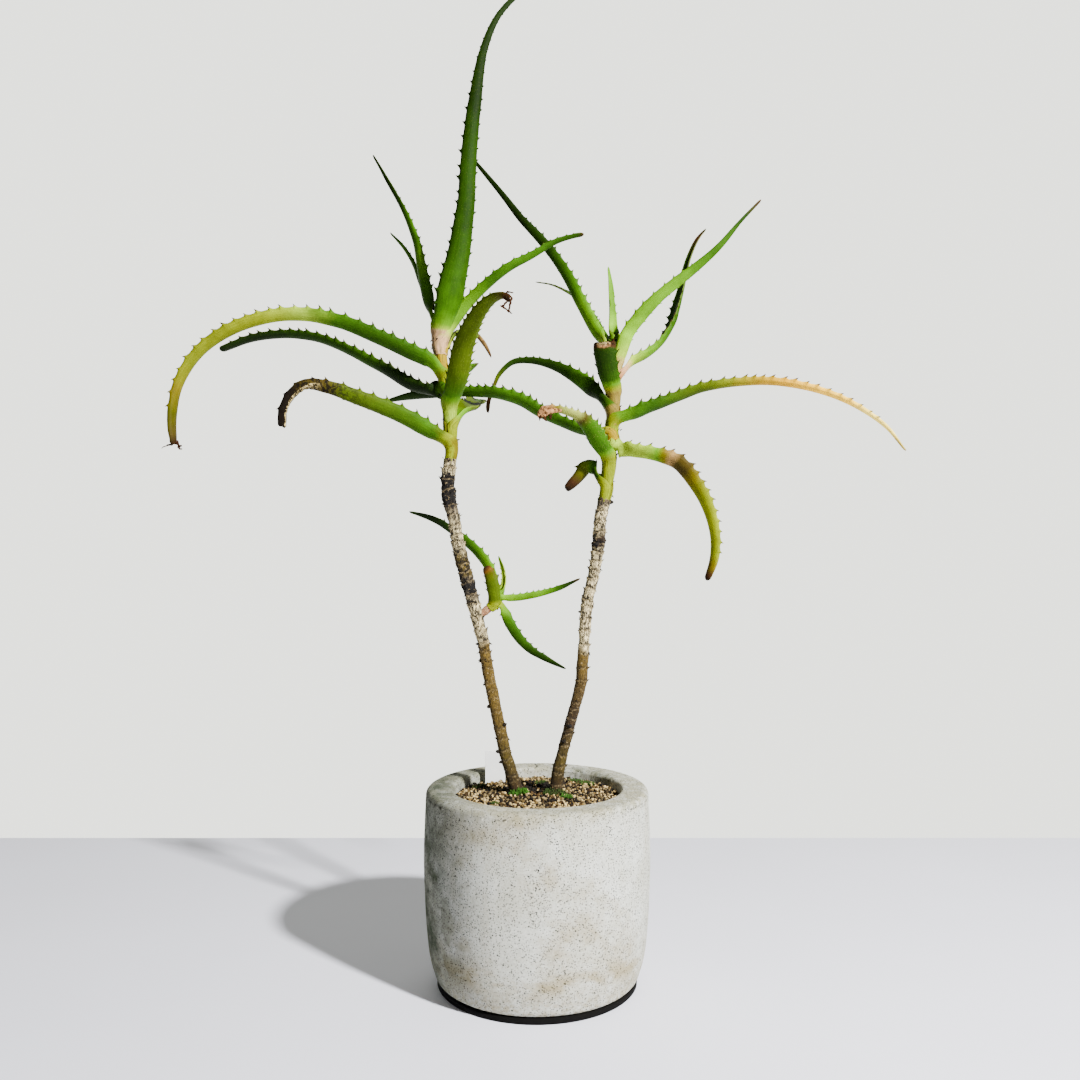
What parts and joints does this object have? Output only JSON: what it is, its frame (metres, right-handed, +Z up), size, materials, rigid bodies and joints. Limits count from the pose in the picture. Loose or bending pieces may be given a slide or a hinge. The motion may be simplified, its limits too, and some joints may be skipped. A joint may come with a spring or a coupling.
{
  "type": "potted aloe",
  "caption": "Krantz aloe with slender bare stems and arching toothed leaves, growing in a thick round concrete pot.",
  "frame": {"origin": "centre of the underside of the pad under the pot, on the floor plane", "axes": "+Z up, +X to the right as the picture shows it, +Y away from the camera"},
  "size_m": [0.5155, 0.1681, 0.7165],
  "materials": {
    "concrete": "matte, pitted",
    "dark_pad": "matte",
    "dark_net": "matte",
    "pumice": "rough, granular",
    "soil": "rough, granular",
    "white_label": "satin",
    "bark": "rough, scarred",
    "dark_leaf": "satin, waxy",
    "green_leaf": "satin, waxy",
    "light_leaf": "satin, waxy",
    "yellow_leaf": "satin, waxy",
    "olive_leaf": "satin, dull"
  },
  "bodies": {
    "root": {"pot": "concrete", "base_pad": "dark_pad", "drain_net": "dark_net", "drainage_layer": "pumice", "soil": "soil", "plant_label": "white_label", "stem_left": "bark", "stem_right": "bark", "left_leaf_small_upper": "dark_leaf", "left_leaf_upper_left": "dark_leaf", "left_leaf_tall": "green_leaf", "left_leaf_upper_right": "light_leaf", "left_leaf_arched": "olive_leaf", "left_leaf_long": "yellow_leaf", "left_leaf_dark": "dark_leaf", "left_leaf_short": "green_leaf", "left_leaf_front": "olive_leaf", "left_leaf_back": "green_leaf", "left_leaf_cut": "yellow_leaf", "right_leaf_top": "light_leaf", "right_leaf_thin_back": "dark_leaf", "right_leaf_upper_left": "green_leaf", "right_leaf_upper_right": "light_leaf", "right_leaf_channel": "green_leaf", "right_leaf_stub": "dark_leaf", "right_leaf_arched": "dark_leaf", "right_leaf_long": "yellow_leaf", "right_leaf_crossing": "green_leaf", "right_leaf_drooping": "light_leaf", "right_leaf_folded": "green_leaf", "right_leaf_hanging": "olive_leaf", "shoot_leaf_top": "light_leaf", "shoot_leaf_left": "green_leaf", "shoot_leaf_right": "light_leaf", "shoot_leaf_low": "green_leaf", "shoot_leaf_stub": "olive_leaf"}
  },
  "joints": []
}
